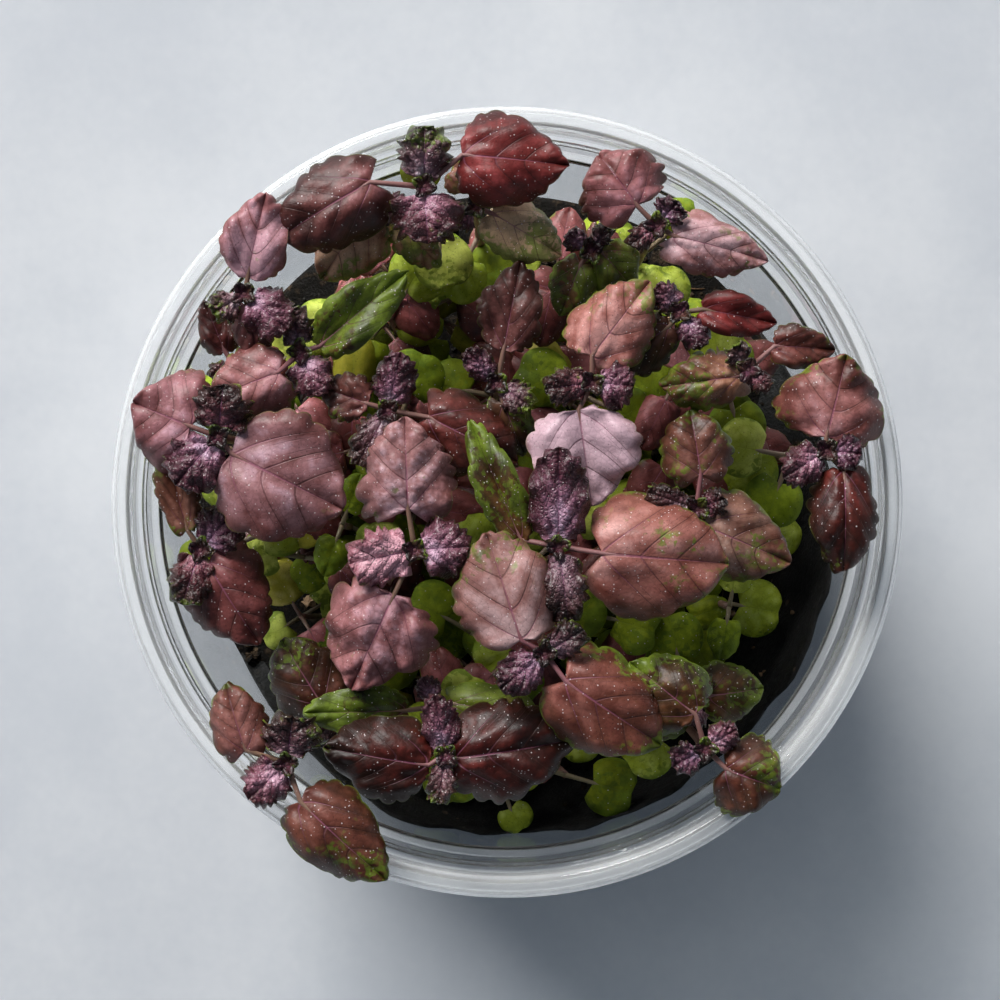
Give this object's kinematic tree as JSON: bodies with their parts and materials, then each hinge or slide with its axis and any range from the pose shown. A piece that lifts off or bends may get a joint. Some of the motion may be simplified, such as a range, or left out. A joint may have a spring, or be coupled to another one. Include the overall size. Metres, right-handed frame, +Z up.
{
  "type": "potted purple shiso seedlings",
  "caption": "Clear round plastic tub of dark potting soil with a close stand of purple shiso seedlings, grown for cutting as micro herbs.",
  "frame": {"origin": "centre of the surface that the tub stands on, on the tub's axis", "axes": "+Z up, +X to the right and +Y away from a reader who looks down into the tub"},
  "size_m": [0.117, 0.117, 0.0709],
  "materials": {
    "clear_plastic": "gloss",
    "soil": "matte",
    "green_stalk": "satin",
    "purple_leaf": "satin",
    "young_green": "satin"
  },
  "bodies": {
    "root": {"tub": "clear_plastic", "soil": "soil", "seedling_01_stalk": "green_stalk", "seedling_01_leaves": "purple_leaf", "seedling_02_stalk": "green_stalk", "seedling_02_leaves": "purple_leaf", "seedling_03_stalk": "green_stalk", "seedling_03_leaves": "purple_leaf", "seedling_04_stalk": "green_stalk", "seedling_04_leaves": "purple_leaf", "seedling_05_stalk": "green_stalk", "seedling_05_leaves": "purple_leaf", "seedling_06_stalk": "green_stalk", "seedling_06_leaves": "purple_leaf", "seedling_07_stalk": "green_stalk", "seedling_07_leaves": "purple_leaf", "seedling_08_stalk": "green_stalk", "seedling_08_leaves": "purple_leaf", "seedling_09_stalk": "green_stalk", "seedling_09_leaves": "purple_leaf", "seedling_10_stalk": "green_stalk", "seedling_10_leaves": "purple_leaf", "seedling_11_stalk": "green_stalk", "seedling_11_leaves": "purple_leaf", "seedling_12_stalk": "green_stalk", "seedling_12_leaves": "purple_leaf", "seedling_13_stalk": "green_stalk", "seedling_13_leaves": "purple_leaf", "seedling_14_stalk": "green_stalk", "seedling_14_leaves": "purple_leaf", "seedling_15_stalk": "green_stalk", "seedling_15_leaves": "purple_leaf", "seedling_16_stalk": "green_stalk", "seedling_16_leaves": "purple_leaf", "seedling_17_stalk": "green_stalk", "seedling_17_leaves": "purple_leaf", "seedling_18_stalk": "green_stalk", "seedling_18_leaves": "purple_leaf", "seedling_19_stalk": "green_stalk", "seedling_19_leaves": "purple_leaf", "seedling_20_stalk": "green_stalk", "seedling_20_leaves": "purple_leaf", "seedling_21_stalk": "green_stalk", "seedling_21_leaves": "purple_leaf", "seedling_22_stalk": "green_stalk", "seedling_22_leaves": "purple_leaf", "seedling_23_stalk": "green_stalk", "seedling_23_leaves": "purple_leaf", "seedling_24_stalk": "green_stalk", "seedling_24_leaves": "purple_leaf", "seedling_25_stalk": "green_stalk", "seedling_25_leaves": "purple_leaf", "seedling_26_stalk": "green_stalk", "seedling_26_leaves": "purple_leaf", "small_seedlings_1": "young_green", "small_seedlings_2": "young_green", "small_seedlings_3": "young_green", "small_seedlings_4": "young_green", "small_seedlings_5": "young_green", "small_seedlings_6": "young_green"}
  },
  "joints": []
}
